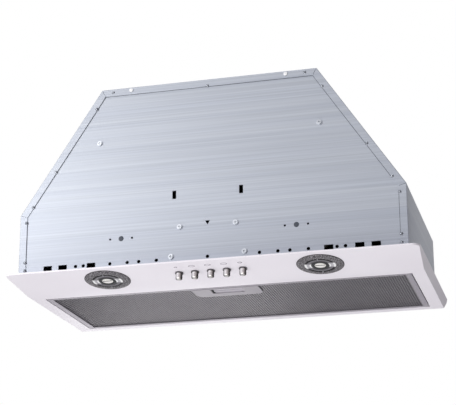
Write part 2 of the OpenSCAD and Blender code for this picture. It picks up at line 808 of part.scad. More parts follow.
module scroll_wrap() color("#aeb4bd") difference() {
    union() {
        crosswise(-scroll_w / 2, scroll_w) difference() {
            polygon(inset(scroll_pts(duct_top - scroll_t), -scroll_t));
            polygon(scroll_pts(duct_top + 1));
        }
        block([-scroll_w / 2, duct_rear + scroll_t / 2, duct_top - scroll_side_t],
            [scroll_w / 2, duct_rear + scroll_t + duct_flange_w, duct_top]);
        block([-scroll_w / 2, duct_front - scroll_t - duct_flange_w, duct_top - scroll_side_t],
            [scroll_w / 2, duct_front - scroll_t / 2, duct_top]);
    }
    duct_screw_holes();
}

module scroll_side(hole_r) {
    difference() {
        union() {
            crosswise(scroll_w / 2, scroll_side_t)
                polygon(inset(scroll_pts(duct_top - scroll_lip), -scroll_lip));
            block([side_x - scroll_side_t / 2, duct_front, duct_top - scroll_side_t],
                [side_x + duct_flange_w, duct_rear, duct_top]);
        }
        on_fan() rod_x(0, scroll_w, hole_r);
        duct_screw_holes();
        children();
    }
}

module scroll_side_left() color("#b9bfc8") mirror([1, 0, 0]) scroll_side(inlet_r);

module scroll_side_right() color("#b9bfc8") scroll_side(14) spider_feet()
    rod_x(0, scroll_w, motor_screw_r + screw_clear);

// Bellmouth in the left side plate that leads the air into the wheel
module inlet_ring() color("#8d939c") on_fan() translate([-side_x, 0, 0]) rotate([0, 90, 0]) rotate_extrude() {
    ring_r = inlet_r - screw_clear;
    translate([ring_r - eps, -1]) square([8, 1]);
    translate([ring_r, 0]) intersection() {
        translate([-throat_bend_r, -1]) square([throat_bend_r, throat_bend_r + 1]);
        translate([0, throat_bend_r - 1 + eps]) difference() {
            circle(throat_bend_r + eps);
            circle(throat_bend_r - 1);
        }
    }
}

// Disc with its hub, end ring, and the blades set between them
module fan_wheel() color("#3a3d43") on_fan() {
    difference() {
        union() {
            rod_x(wheel_right - wheel_disc_t, wheel_disc_t, wheel_r);
            rod_x(wheel_right - wheel_hub_len, wheel_hub_len, wheel_hub_r);
        }
        rod_x(wheel_left, 2 * scroll_w, shaft_r);
    }
    difference() {
        rod_x(wheel_left, wheel_ring_t, wheel_r);
        rod_x(wheel_left - 1, wheel_ring_t + 2, wheel_eye_r);
    }
    for (i = [0:blade_count - 1]) rotate([i * 360 / blade_count, 0, 0])
        translate([0, 0, wheel_eye_r + 0.8]) rotate([-blade_lean, 0, 0])
            block([wheel_left + wheel_ring_t, -blade_t / 2, 0],
                [wheel_right - wheel_disc_t, blade_t / 2, blade_w]);
}

module motor_shaft() color("#c8ccd2") on_fan()
    rod_x(wheel_right - wheel_hub_len, motor_x + motor_len + 3 - wheel_right + wheel_hub_len, shaft_r);

// End bells round a slightly smaller laminated core
module motor_can() color("#9aa0a8") on_fan() difference() {
    union() {
        for (x = [motor_x, motor_x + motor_len - bell_len]) rod_x(x, bell_len, motor_r);
        rod_x(motor_x + 1, motor_len - 2, motor_r - 2);
    }
    rod_x(motor_x - 1, motor_len + 2, shaft_r + run_clear);
}

module spider_feet() {
    on_fan() for (a = [60, 180, 300]) rotate([a, 0, 0]) translate([0, spider_foot_r, 0]) children();
}

// Three-armed plate that carries the motor on rubber grommets
module motor_spider() color("#a9afb8") difference() {
    on_fan() {
        rod_x(motor_x - spider_t, spider_t, motor_r + 2);
        for (a = [60, 180, 300]) rotate([a, 0, 0])
            block([motor_x - spider_t, 0, -spider_arm_w / 2], [motor_x, spider_foot_r + 6, spider_arm_w / 2]);
    }
    on_fan() rod_x(0, 2 * scroll_w, spider_ring_r);
    spider_feet() rod_x(0, 2 * scroll_w, motor_screw_r + screw_clear);
}

module motor_grommets() color("#26272a") spider_feet() difference() {
    rod_x(side_x, grommet_t, grommet_r);
    rod_x(side_x - 1, grommet_t + 2, motor_screw_r + screw_clear);
}

module motor_screws() color("#d0d3d8") spider_feet() translate([motor_x, 0, 0]) rotate([0, 90, 0])
    pan_screw(motor_head_r, motor_head_h, motor_screw_r, spider_t + grommet_t + 5);

// ---- Duct collar and flaps ----
module outlet_collar() color("#3b3d42") translate([0, collar_y, body_h]) difference() {
    union() {
        cylinder(r = collar_r, h = collar_h);
        cylinder(r = collar_foot_r, h = collar_t);
        cylinder(r = collar_neck_r, h = collar_t + collar_ring_t);
    }
    difference() {
        translate([0, 0, -1]) cylinder(r = collar_bore_r, h = collar_h + 2);
        for (s = [-1, 1]) intersection() {
            translate([0, 0, flap_z - body_h - flap_t / 2 - ledge_gap - ledge_h]) difference() {
                cylinder(r = collar_r, h = ledge_h);
                translate([0, 0, -1]) cylinder(r = collar_bore_r - ledge_w, h = ledge_h + 2);
            }
            block([-ledge_len / 2, s * collar_r / 2 - collar_r / 2, 0],
                [ledge_len / 2, s * collar_r / 2 + collar_r / 2, collar_h]);
        }
    }
    translate([0, 0, flap_z - body_h]) rod_x(-collar_r - 1, 2 * collar_r + 2, flap_pin_r);
}

// Clamps the collar's foot to the casing's top
module collar_ring() color("#b4b9c1") translate([0, collar_y, body_h]) difference() {
    rotate_extrude() polygon([
        [collar_foot_r + screw_clear, 0], [collar_ring_r, 0], [collar_ring_r, collar_t + collar_ring_t],
        [collar_neck_r + screw_clear, collar_t + collar_ring_t], [collar_neck_r + screw_clear, collar_t],
        [collar_foot_r + screw_clear, collar_t]]);
    for (a = [0:90:270]) rotate([0, 0, a]) translate([collar_screw_r, 0, -1])
        cylinder(r = collar_hole_r + screw_clear, h = collar_t + collar_ring_t + 2);
}

module collar_screws() color("#d0d3d8") translate([0, collar_y, body_h + collar_t + collar_ring_t])
    for (a = [0:90:270]) rotate([0, 0, a]) translate([collar_screw_r, 0, 0])
        pan_screw(collar_head_r, collar_head_h, collar_hole_r, collar_screw_len);

module on_flap_pin() {
    translate([0, collar_y, flap_z]) children();
}

module damper_pin() color("#c8ccd2") on_flap_pin() rod_x(-collar_r, 2 * collar_r, flap_pin_r);

// One half of the butterfly damper; it lies over y > 0 before it is turned into place
module flap(first) {
    flap_r = collar_bore_r - flap_gap;
    pitch = knuckle_len + knuckle_gap;
    difference() {
        union() {
            difference() {
                translate([0, 0, -flap_t / 2]) cylinder(r = flap_r, h = flap_t);
                block([-collar_r, -collar_r, -5], [collar_r, flap_start, 5]);
            }
            for (i = [first:2:knuckle_count - 1]) {
                x = (i - knuckle_count / 2) * pitch + knuckle_gap / 2;
                rod_x(x, knuckle_len, knuckle_r);
                block([x, 0, -flap_t / 2], [x + knuckle_len, flap_start + 1, flap_t / 2]);
            }
        }
        rod_x(-collar_r, 2 * collar_r, flap_pin_r + run_clear);
    }
}

module damper_flap_rear() color("#4a4d53") on_flap_pin() flap(0);

module damper_flap_front() color("#4a4d53") on_flap_pin() rotate([0, 0, 180]) flap(0);

// ---- Filter ----
module filter_slab(low, high, shrink) {
    block([-filter_x + shrink[0], filter_front + shrink[1], low],
        [filter_x - shrink[0], filter_rear - shrink[1], high]);
}

module cup_hole() {
    block([cup_x - cup_w / 2 - cup_t, cup_front - cup_t, filter_bottom - 1],
        [cup_x + cup_w / 2 + cup_t, cup_front + cup_d + cup_t, filter_top + 1]);
}

module latch_channel() {
    block([cup_x - latch_w / 2 - slide_clear, filter_front - 1, latch_z - slide_clear],
        [cup_x + latch_w / 2 + slide_clear, latch_tail + latch_travel + 1, filter_top - frame_t]);
}

module stud_holes() {
    both_sides() translate([stud_x, stud_y, filter_bottom]) cylinder(r = stud_r, h = filter_h + 2);
}

module filter_frame() color("#c9c5cd") difference() {
    filter_slab(filter_bottom, filter_top, [0, 0]);
    filter_slab(filter_bottom + frame_t, filter_top - frame_t, [frame_t, frame_t]);
    filter_slab(filter_bottom - 1, filter_top + 1, [rail_side, rail_end]);
    block([cup_x - latch_w / 2 - slide_clear, filter_front - 1, latch_z - slide_clear],
        [cup_x + latch_w / 2 + slide_clear, filter_front + frame_t + 1, latch_z + latch_t + slide_clear]);
    translate([0, hinge_y, hinge_z]) rod_x(-filter_x - 1, 2 * filter_x + 2, hinge_pin_r);
}

module filter_mesh() color("#8a868c") difference() {
    filter_slab(filter_bottom + frame_t, filter_bottom + frame_t + mesh_t, [frame_t, frame_t]);
    cup_hole();
    stud_holes();
}

module filter_core() color("#77747a") difference() {
    filter_slab(filter_bottom + frame_t + mesh_t, filter_top - frame_t - mesh_t, [frame_t, frame_t]);
    cup_hole();
    latch_channel();
    stud_holes();
}

module filter_back_mesh() color("#8a868c") difference() {
    filter_slab(filter_top - frame_t - mesh_t, filter_top - frame_t, [frame_t, frame_t]);
    cup_hole();
    latch_channel();
    stud_holes();
}

module filter_pivots() color("#d0d3d8") both_sides() translate([0, hinge_y, hinge_z])
    rod_x(filter_x - frame_t, hinge_plate_x + hinge_plate_t - 0.2 - filter_x + frame_t, hinge_pin_r);

module hinge_brackets() color("#b4b9c1") both_sides() difference() {
    union() {
        block([hinge_plate_x, hinge_y - hinge_plate_d / 2, -panel_h + panel_t],
            [hinge_plate_x + hinge_plate_t, hinge_y + hinge_plate_d / 2, -panel_h + panel_t + hinge_plate_h]);
        block([hinge_plate_x, hinge_y - hinge_plate_d / 2, -panel_h + panel_t],
            [hinge_plate_x + hinge_plate_t + hinge_foot_w, hinge_y + hinge_plate_d / 2,
                -panel_h + panel_t + 1]);
    }
    translate([0, hinge_y, hinge_z]) rod_x(hinge_plate_x - 1, hinge_plate_t + 1.01, hinge_pin_r + run_clear);
}

// Plate across the filter's front edge, with a finger cup sunk into the filter
module handle_plate() color("#bdb8c1") {
    plate_top = filter_bottom + frame_t;
    difference() {
        union() {
            translate([0, plate_front, plate_low]) linear_extrude(plate_top - plate_low) handle_outline();
            block([cup_x - cup_w / 2 - cup_t, cup_front - cup_t, plate_low + 0.5],
                [cup_x + cup_w / 2 + cup_t, cup_front + cup_d + cup_t, cup_top]);
        }
        block([cup_x - cup_w / 2, cup_front, plate_low - 1],
            [cup_x + cup_w / 2, cup_front + cup_d, cup_top - 0.8]);
        block([cup_x - latch_w / 2 - slide_clear, cup_front - cup_t - 1, latch_z - slide_clear],
            [cup_x + latch_w / 2 + slide_clear, cup_front + cup_d + cup_t + 1,
                latch_z + latch_t + slide_clear]);
    }
    both_sides() translate([stud_x, stud_y, plate_top]) cylinder(r = stud_r, h = filter_h - frame_t);
}

module handle_outline() {
    r = plate_corner_r;
    translate([-handle_w / 2, 0]) square([handle_w, handle_d - r]);
    translate([-handle_w / 2 + r, handle_d - r]) square([handle_w - 2 * r, r]);
    for (s = [-1, 1]) translate([s * (handle_w / 2 - r), handle_d - r]) circle(r);
}

module handle_nuts() color("#d0d3d8") both_sides() translate([stud_x, stud_y, filter_top - frame_t])
    difference() {
        cylinder(r = nut_r, h = nut_t);
        translate([0, 0, -1]) cylinder(r = stud_r, h = nut_t + 2);
    }

module latch_slider() color("#a9a5ad") {
    block_x0 = cup_x - cup_w / 2 + block_left;
    block_x1 = cup_x + cup_w / 2 - slide_clear;
    block_y0 = cup_front + slide_clear;
    difference() {
        union() {
            block([cup_x - latch_w / 2, latch_tip, latch_z],
                [cup_x + latch_w / 2, latch_tail, latch_z + latch_t]);
            block([block_x0, block_y0, block_low], [block_x1, block_y0 + block_d, latch_z + latch_t]);
            block([block_x0, block_y0 + block_d - finger_rib, plate_low + 0.3],
                [block_x1, block_y0 + block_d, block_low + eps]);
        }
        translate([spring_x, 0, spring_z]) rod_y(spring_front, block_d, spring_bore_r);
    }
}

// Helix drawn as one closed tube
function spring_at(i) = let (a = i * 360 / spring_steps)
    [(spring_r - spring_wire_r) * cos(a), spring_wire_r + spring_len * i / spring_rings,
        (spring_r - spring_wire_r) * sin(a)];
function spring_ring(i) = let (a = i * 360 / spring_steps)
    [for (k = [0:spring_sides - 1]) let (b = k * 360 / spring_sides)
        spring_at(i) + spring_wire_r * [cos(b) * cos(a), sin(b), cos(b) * sin(a)]];
function spring_wall(i, k, m) = [i * spring_sides + k, i * spring_sides + m,
    (i + 1) * spring_sides + m, (i + 1) * spring_sides + k];

module latch_spring() color("#d9dde3") translate([spring_x, spring_front, spring_z]) polyhedron(
    [for (i = [0:spring_rings]) each spring_ring(i)],
    concat(
        [for (i = [0:spring_rings - 1]) for (k = [0:spring_sides - 1])
            spring_wall(i, k, (k + 1) % spring_sides)],
        [[for (k = [spring_sides - 1:-1:0]) k],
            [for (k = [0:spring_sides - 1]) spring_rings * spring_sides + k]]));

casing_wrap();
front_sheet();
rear_sheet();
fascia_panel();
seam_screws();
front_screws();
foot_screws();
lamp_bezel(-1);  // lamp_bezel_left
lamp_bezel(1);  // lamp_bezel_right
lamp_glass(-1);  // lamp_glass_left
lamp_glass(1);  // lamp_glass_right
lamp_reflector(-1);  // lamp_reflector_left
lamp_reflector(1);  // lamp_reflector_right
lamp_bulb(-1);  // lamp_bulb_left
lamp_bulb(1);  // lamp_bulb_right
lamp_holders();
lamp_clips();
button_collars();
switch_housing();
switch_bracket();
switch_board();
control_box();
control_box_lid();
terminal_block();
capacitor();
lamp_transformer();
cable_gland();
blower_brace();
scroll_wrap();
scroll_side_left();
scroll_side_right();
inlet_ring();
motor_can();
motor_spider();
motor_grommets();
motor_screws();
outlet_collar();
collar_ring();
collar_screws();
damper_pin();
hinge_brackets();
internal_wiring();
filter_frame();
filter_mesh();
filter_core();
filter_back_mesh();
filter_pivots();
handle_plate();
handle_nuts();
latch_slider();
latch_spring();
push_button(0);  // button_off
push_button(1);  // button_speed_1
push_button(2);  // button_speed_2
push_button(3);  // button_speed_3
push_button(4);  // button_light
damper_flap_front();
damper_flap_rear();
fan_wheel();
motor_shaft();
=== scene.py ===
import json
import math
import bpy
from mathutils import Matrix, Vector


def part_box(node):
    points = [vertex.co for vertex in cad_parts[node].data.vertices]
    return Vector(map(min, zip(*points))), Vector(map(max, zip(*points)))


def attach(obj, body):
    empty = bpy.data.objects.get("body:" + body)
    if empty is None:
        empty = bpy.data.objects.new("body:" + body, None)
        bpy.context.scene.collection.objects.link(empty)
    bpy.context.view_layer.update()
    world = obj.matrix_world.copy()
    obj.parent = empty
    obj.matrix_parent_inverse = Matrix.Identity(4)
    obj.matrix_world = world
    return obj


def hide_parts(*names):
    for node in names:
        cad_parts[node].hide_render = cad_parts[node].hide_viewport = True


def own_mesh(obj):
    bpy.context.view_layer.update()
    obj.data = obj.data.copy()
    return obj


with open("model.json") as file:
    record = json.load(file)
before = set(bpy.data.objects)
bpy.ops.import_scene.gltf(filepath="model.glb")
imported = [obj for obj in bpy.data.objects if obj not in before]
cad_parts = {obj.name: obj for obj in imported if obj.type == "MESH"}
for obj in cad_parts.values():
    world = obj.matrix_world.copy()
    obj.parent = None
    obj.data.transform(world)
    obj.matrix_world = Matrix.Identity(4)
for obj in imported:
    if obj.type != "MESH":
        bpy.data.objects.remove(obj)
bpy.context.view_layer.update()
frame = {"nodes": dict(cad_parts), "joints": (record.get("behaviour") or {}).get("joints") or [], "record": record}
nodes = frame["nodes"]
mm = 0.001
print("frame: loaded", len(nodes), "CAD nodes")

stripJoint = [j for j in frame["joints"] if j["name"] == "off_press"][0]
stripIn = Vector(stripJoint["axis"]).normalized()  # into the casing, square to the control strip
stripBack = Vector((0, stripIn.z, -stripIn.y))  # along the strip, towards the wall
stripTilt = -math.atan2(stripIn.y, stripIn.z)


# small tools
def middle(node):
    low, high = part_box(node)
    return (low + high) / 2


def deselect():
    if bpy.context.object and bpy.context.object.mode != "OBJECT":
        bpy.ops.object.mode_set(mode="OBJECT")
    bpy.ops.object.select_all(action="DESELECT")


def pick(*objs):
    deselect()
    for obj in objs:
        obj.select_set(True)
    bpy.context.view_layer.objects.active = objs[0]


def useModifier(obj, kind, **settings):
    pick(obj)
    mod = obj.modifiers.new(kind.title(), kind)
    for name, value in settings.items():
        setattr(mod, name, value)
    bpy.ops.object.modifier_apply(modifier=mod.name)


def freeze(obj):  # puts the object's place into its mesh
    pick(obj)
    bpy.ops.object.transform_apply(location=True, rotation=True, scale=True)


def twin(piece, name, shift):  # a copy with its own mesh, moved along
    copy = piece.copy()
    copy.data = piece.data.copy()
    bpy.context.scene.collection.objects.link(copy)
    copy.name = name
    copy.location = shift
    freeze(copy)
    return copy


edgeRound = {
    "weld": 0.002 * mm,
    "flat": math.radians(0.4),  # faces within this are one face
    "sharp": math.radians(32),  # only edges sharper than this are rounded
    "smooth": math.radians(30),
    "segments": 2,
    "weight": 60,  # how much the large faces lead the shading
}


def bevelledCopy(name, node, width):
    piece = bpy.data.objects.new(name, nodes[node].data.copy())
    bpy.context.scene.collection.objects.link(piece)
    pick(piece)
    bpy.ops.object.mode_set(mode="EDIT")
    bpy.ops.mesh.select_all(action="SELECT")
    bpy.ops.mesh.remove_doubles(threshold=edgeRound["weld"])
    bpy.ops.mesh.dissolve_limited(angle_limit=edgeRound["flat"])
    bpy.ops.object.mode_set(mode="OBJECT")
    if not width:
        return piece
    useModifier(piece, "BEVEL", width=width, segments=edgeRound["segments"], limit_method="ANGLE",
                angle_limit=edgeRound["sharp"], use_clamp_overlap=True)
    pick(piece)
    bpy.ops.object.shade_smooth_by_angle(angle=edgeRound["smooth"])
    useModifier(piece, "WEIGHTED_NORMAL", weight=edgeRound["weight"], keep_sharp=True)
    return piece


# colours and node trees
def toLinear(hexText):
    values = [int(hexText[i:i + 2], 16) / 255 for i in (1, 3, 5)]
    linear = [v / 12.92 if v <= 0.04045 else ((v + 0.055) / 1.055) ** 2.4 for v in values]
    return (*linear, 1.0)


def addNode(tree, kind, settings=None, links=None, feeds=None):
    node = tree.nodes.new("ShaderNode" + kind)
    for name, value in (settings or {}).items():
        if isinstance(name, int) or name in node.inputs:
            node.inputs[name].default_value = value
        else:
            setattr(node, name, value)
    for name, source in (links or {}).items():  # into this node
        tree.links.new(source, node.inputs[name])
    for name, socket in (feeds or {}).items():  # out of it
        tree.links.new(node.outputs[name], socket)
    return node


def startMaterial(name, hexText, metallic, roughness, **more):
    made = bpy.data.materials.new(name)
    made.use_nodes = True
    tree = made.node_tree
    shader = tree.nodes["Principled BSDF"]
    shader.inputs["Base Color"].default_value = toLinear(hexText)
    shader.inputs["Metallic"].default_value = metallic
    shader.inputs["Roughness"].default_value = roughness
    for socket, value in more.items():
        shader.inputs[socket.replace("_", " ")].default_value = value
    place = addNode(tree, "TexCoord").outputs["Object"]
    return made, tree, shader.inputs, place


# textures, and what a finish takes from their values: its colour, its roughness and its relief
def stretched(tree, place, perMetre):
    return addNode(tree, "Mapping", {"Scale": perMetre}, {"Vector": place}).outputs[0]


def noise(tree, place, perMetre, detail, **more):
    settings = {"Scale": perMetre, "Detail": detail, **more}
    return addNode(tree, "TexNoise", settings, {"Vector": place}).outputs["Fac"]


def ramp(tree, source, stops):
    node = addNode(tree, "ValToRGB", None, {"Fac": source})
    elements = node.color_ramp.elements
    while len(elements) < len(stops):
        elements.new(0.5)
    for element, (at, hexText) in zip(elements, stops):
        element.position = at
        element.color = toLinear(hexText)
    return node.outputs["Color"]


def colourBy(tree, into, source, stops):
    tree.links.new(ramp(tree, source, stops), into["Base Color"])


def roughBy(tree, into, source, least, most):
    addNode(tree, "MapRange", {"To Min": least, "To Max": most}, {"Value": source},
            {"Result": into["Roughness"]})


def raiseBy(tree, into, source, height, strength):
    addNode(tree, "Bump", {"Distance": height, "Strength": strength}, {"Height": source},
            {"Normal": into["Normal"]})


buttonPitch = middle("button_speed_2").x - middle("button_speed_1").x
capHalf = 4.3 * mm  # half of a button cap's width
cupLightDepths = (0.3 * mm, 1.2 * mm)  # in from the handle's face: where the finger cup's painted light starts and where it is full


# materials
def rolledSheet():
    # pre-galvanised steel sheet, brushed along its width: fine pale and dark streaks with a soft
    # sheen, and painted shade that darkens it a little toward the foot
    made, tree, into, place = startMaterial("rolledGalvanisedSheet", "#ccd1da", 0.3, 0.42)
    # streaks 1.4 mm apart and 330 mm long, and bands 6 mm wide
    fine = noise(tree, stretched(tree, place, (3, 3, 700)), 1, 5, Roughness=0.65)
    bands = noise(tree, stretched(tree, place, (1.5, 1.5, 160)), 1, 2)
    streak = ramp(tree, fine, [(0.3, "#b3b8c1"), (0.5, "#bdc2cb"), (0.7, "#c7ccd5")])
    tint = ramp(tree, bands, [(0.3, "#f4f5f8"), (0.7, "#ffffff")])
    tinted = addNode(tree, "Mix", {"data_type": "RGBA", "blend_type": "MULTIPLY", 0: 1.0},
                     {6: streak, 7: tint})
    height = addNode(tree, "SeparateXYZ", None, {0: place}).outputs["Z"]
    # painted shade: darkest at the foot, fading up to where the sheet has its own colour
    footShadeRise = addNode(tree, "MapRange", {"From Min": 5 * mm, "From Max": 75 * mm}, {"Value": height})
    footShade = ramp(tree, footShadeRise.outputs["Result"], [(0.0, "#f0f0f2"), (1.0, "#ffffff")])
    addNode(tree, "Mix", {"data_type": "RGBA", "blend_type": "MULTIPLY", 0: 1.0},
            {6: tinted.outputs[2], 7: footShade}, {2: into["Base Color"]})
    roughBy(tree, into, fine, 0.34, 0.52)
    raiseBy(tree, into, fine, 0.05 * mm, 0.3)
    return made


def bakedEnamel():
    # stove enamel sprayed on steel: an even pale coat, faintly lilac, with slight orange peel under
    # its gloss
    made, tree, into, place = startMaterial("sprayedStoveEnamel", "#f3eef5", 0.0, 0.34,
                                            Specular_IOR_Level=0.42)
    peel = noise(tree, place, 260, 1)  # ripples of 4 mm
    cloud = noise(tree, place, 7, 2)  # clouds of 140 mm
    colourBy(tree, into, cloud, [(0.3, "#f1ecf3"), (0.7, "#f6f2f8")])
    raiseBy(tree, into, peel, 0.03 * mm, 0.25)
    return made


def zincPlate(name, hexText, darkHex, roughness):
    # steel with a bright zinc plate: a cool shine broken by small cloudy crystals
    made, tree, into, place = startMaterial(name, hexText, 0.9, roughness)
    # patches about 6 mm across
    crystals = addNode(tree, "TexVoronoi", {"Scale": 160}, {"Vector": place})
    colourBy(tree, into, crystals.outputs["Color"], [(0.2, darkHex), (0.8, hexText)])
    roughBy(tree, into, crystals.outputs["Distance"], roughness - 0.06, roughness + 0.12)
    return made


def fleckedPaint():
    # hammer-finish paint on a die-cast ring: dark grey with paler flecks under a half gloss
    made, tree, into, place = startMaterial("fleckedBezelPaint", "#7d7a7e", 0.25, 0.42)
    # flecks about 1.6 mm across
    flecks = addNode(tree, "TexVoronoi", {"Scale": 620}, {"Vector": place})
    colourBy(tree, into, flecks.outputs["Distance"],
             [(0.1, "#bab7bb"), (0.35, "#827f83"), (0.7, "#464347")])
    raiseBy(tree, into, flecks.outputs["Distance"], 0.08 * mm, 0.4)
    return made


def lensGlass():
    # polished soda-lime glass: clear, with a faint smear that dulls its shine
    made, tree, into, place = startMaterial("polishedLensGlass", "#f2f4f6", 0.0, 0.04, Alpha=0.07)
    smear = noise(tree, place, 60, 2)  # smears of 17 mm
    roughBy(tree, into, smear, 0.02, 0.12)
    return made


def silverWithPaintedFlanks(name, darkHex, midHex, lightHex, narrow):
    # aluminium evaporated on pressed rings, with painted highlights on its two flanks and painted shade on its
    # front and back
    made, tree, into, place = startMaterial(name, "#d8d7da", 0.15, 0.3, Specular_IOR_Level=0.2)
    axes = addNode(tree, "SeparateXYZ", None, {0: place}).outputs
    away = addNode(tree, "Math", {"operation": "ABSOLUTE"}, {0: axes["X"]}).outputs[0]
    right = middle("lamp_glass_right")
    across = addNode(tree, "Math", {"operation": "SUBTRACT", 1: right.x}, {0: away}).outputs[0]
    along = addNode(tree, "Math", {"operation": "SUBTRACT", 1: right.y}, {0: axes["Y"]}).outputs[0]
    angle = addNode(tree, "Math", {"operation": "ARCTAN2"}, {0: along, 1: across}).outputs[0]
    twice = addNode(tree, "Math", {"operation": "MULTIPLY", 1: 2.0}, {0: angle}).outputs[0]
    turn = addNode(tree, "Math", {"operation": "COSINE"}, {0: twice}).outputs[0]
    # painted highlight and painted shade: the colour follows the angle round the lamp's axis
    flankHighlight = addNode(tree, "MapRange", {"From Min": narrow, "From Max": 1.0}, {"Value": turn})
    colourBy(tree, into, flankHighlight.outputs["Result"], [(0.0, darkHex), (0.45, midHex), (0.8, lightHex)])
    return made


def frostedGlass():
    # sand-blasted lamp glass: milky, with a fine dry grain
    made, tree, into, place = startMaterial("frostedLampGlass", "#f4f2ee", 0.0, 0.55,
                                            Coat_Weight=0.15)
    grain = noise(tree, place, 1500, 2)  # grain of 0.7 mm
    colourBy(tree, into, grain, [(0.3, "#eae8e3"), (0.7, "#fbf9f6")])
    raiseBy(tree, into, grain, 0.03 * mm, 0.3)
    return made


def moulded(name, darkHex, lightHex, roughness, grainMm, coat=0.0):
    # injection-moulded plastic from a spark-eroded mould: an even colour with a fine, dry texture
    made, tree, into, place = startMaterial(name, lightHex, 0.0, roughness,
                                            Coat_Weight=coat, Coat_Roughness=0.1)
    grain = noise(tree, place, 1 / (grainMm * mm), 2)
    colourBy(tree, into, grain, [(0.3, darkHex), (0.7, lightHex)])
    raiseBy(tree, into, grain, 0.04 * mm, 0.35)
    return made


def handlePlastic():
    # injection-moulded ABS: dry and greyish lilac on its face, with painted light paler in the finger cup
    made, tree, into, place = startMaterial("mouldedHandleAbs", "#9b969e", 0.0, 0.38,
                                            Coat_Weight=0.1, Coat_Roughness=0.1)
    grain = noise(tree, place, 1 / (0.7 * mm), 2)
    face = ramp(tree, grain, [(0.3, "#948f97"), (0.7, "#9b969e")])
    # painted light: deeper in the finger cup the colour turns paler, against the shade that falls there
    height = addNode(tree, "SeparateXYZ", None, {0: place}).outputs["Z"]
    start, full = (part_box("handle_plate")[0].z + depth for depth in cupLightDepths)
    depth = addNode(tree, "MapRange", {"From Min": start, "From Max": full}, {"Value": height})
    addNode(tree, "Mix", {"data_type": "RGBA", 7: toLinear("#dedae1")},
            {0: depth.outputs["Result"], 6: face}, {2: into["Base Color"]})
    raiseBy(tree, into, grain, 0.04 * mm, 0.35)
    return made


def ceramicBody():
    # fired steatite: off-white and dry, with scattered grey specks
    made, tree, into, place = startMaterial("firedSteatite", "#e4dfd3", 0.0, 0.5)
    # specks about 1 mm apart
    specks = addNode(tree, "TexVoronoi", {"Scale": 900}, {"Vector": place})
    colourBy(tree, into, specks.outputs["Distance"], [(0.06, "#b3ab9a"), (0.18, "#e4dfd3")])
    raiseBy(tree, into, specks.outputs["Distance"], 0.03 * mm, 0.2)
    return made


def drawnMetal(name, hexText, roughness, perMetre):
    # drawn and polished metal: bright, with fine lines along the way it was drawn
    made, tree, into, place = startMaterial(name, hexText, 1.0, roughness)
    lines = noise(tree, stretched(tree, place, perMetre), 1, 2)
    roughBy(tree, into, lines, roughness - 0.06, roughness + 0.1)
    raiseBy(tree, into, lines, 0.02 * mm, 0.25)
    return made


def circuitBoard():
    # paper laminate with green solder resist: a dull green with lighter tracks
    made, tree, into, place = startMaterial("resinPaperBoard", "#4d5b34", 0.0, 0.45,
                                            Coat_Weight=0.3)
    # tracks 2 mm apart
    tracks = addNode(tree, "TexBrick",
                     {"Scale": 220, "Color1": toLinear("#55673a"), "Color2": toLinear("#4b5a33"),
                      "Mortar": toLinear("#7d7440")},
                     {"Vector": place}, {"Color": into["Base Color"]})
    raiseBy(tree, into, tracks.outputs["Fac"], 0.04 * mm, 0.4)
    return made


def motorPaint():
    # dipped motor paint over laminations: slate grey, with thin ridges round the stack
    made, tree, into, place = startMaterial("dippedMotorPaint", "#565a61", 0.2, 0.5)
    ridges = noise(tree, stretched(tree, place, (900, 15, 15)), 1, 1)  # plates 1.1 mm thick
    colourBy(tree, into, ridges, [(0.35, "#484c53"), (0.65, "#666a72")])
    raiseBy(tree, into, ridges, 0.12 * mm, 0.6)
    return made


def anodisedRail():
    # extruded and anodised aluminium: pale lilac grey with a fine, slightly uneven grain
    made, tree, into, place = startMaterial("anodisedFilterRail", "#b9b4bc", 0.55, 0.42)
    grain = noise(tree, place, 500, 3)  # grain 2 mm across
    colourBy(tree, into, grain, [(0.3, "#aca7b0"), (0.7, "#c6c1c9")])
    raiseBy(tree, into, grain, 0.02 * mm, 0.3)
    return made


def expandedAluminium():
    # slit and stretched aluminium: dull grey strands with small bright and dark handling marks
    made, tree, into, place = startMaterial("stretchedAluminiumMesh", "#8f8b91", 0.9, 0.35)
    marks = noise(tree, place, 45, 3)  # patches of 22 mm
    colourBy(tree, into, marks, [(0.3, "#8d898f"), (0.7, "#99959b")])
    roughBy(tree, into, marks, 0.29, 0.36)
    return made


def filterWool():
    # pressed layers of aluminium wool: mid grey with a tangle of paler threads
    made, tree, into, place = startMaterial("pressedFilterWool", "#5e5b60", 0.6, 0.5)
    threads = noise(tree, place, 420, 5, Roughness=0.7)  # threads 2.4 mm apart
    colourBy(tree, into, threads, [(0.35, "#716e73"), (0.6, "#838085"), (0.75, "#989599")])
    raiseBy(tree, into, threads, 0.3 * mm, 0.6)
    return made


def chromedPlastic():
    # chrome plated on turned caps: a mirror, with a painted highlight left of its middle and painted shade on both
    # flanks
    made, tree, into, place = startMaterial("chromePlatedCap", "#d6d4d1", 0.8, 0.13)
    rubbed = noise(tree, place, 500, 2)  # rubs 2 mm across
    x = addNode(tree, "SeparateXYZ", None, {0: place}).outputs["X"]
    # half a pitch brings each cap to the middle of its span, and nine more keep the number positive
    x = addNode(tree, "Math", {"operation": "ADD", 1: 9.5 * buttonPitch}, {0: x}).outputs[0]
    x = addNode(tree, "Math", {"operation": "MODULO", 1: buttonPitch}, {0: x}).outputs[0]
    left, right = buttonPitch / 2 - capHalf, buttonPitch / 2 + capHalf
    across = addNode(tree, "MapRange", {"From Min": left, "From Max": right}, {"Value": x})
    # painted reflection across each cap: dark edges, a bright stripe left of the middle, darker to the right
    colourBy(tree, into, across.outputs["Result"],
             [(0.02, "#1f1c1a"), (0.12, "#6f6b68"), (0.28, "#ffffff"), (0.58, "#e6e2df"),
              (0.76, "#a39e9b"), (0.9, "#4c4846"), (0.98, "#242120")])
    roughBy(tree, into, rubbed, 0.08, 0.2)
    return made


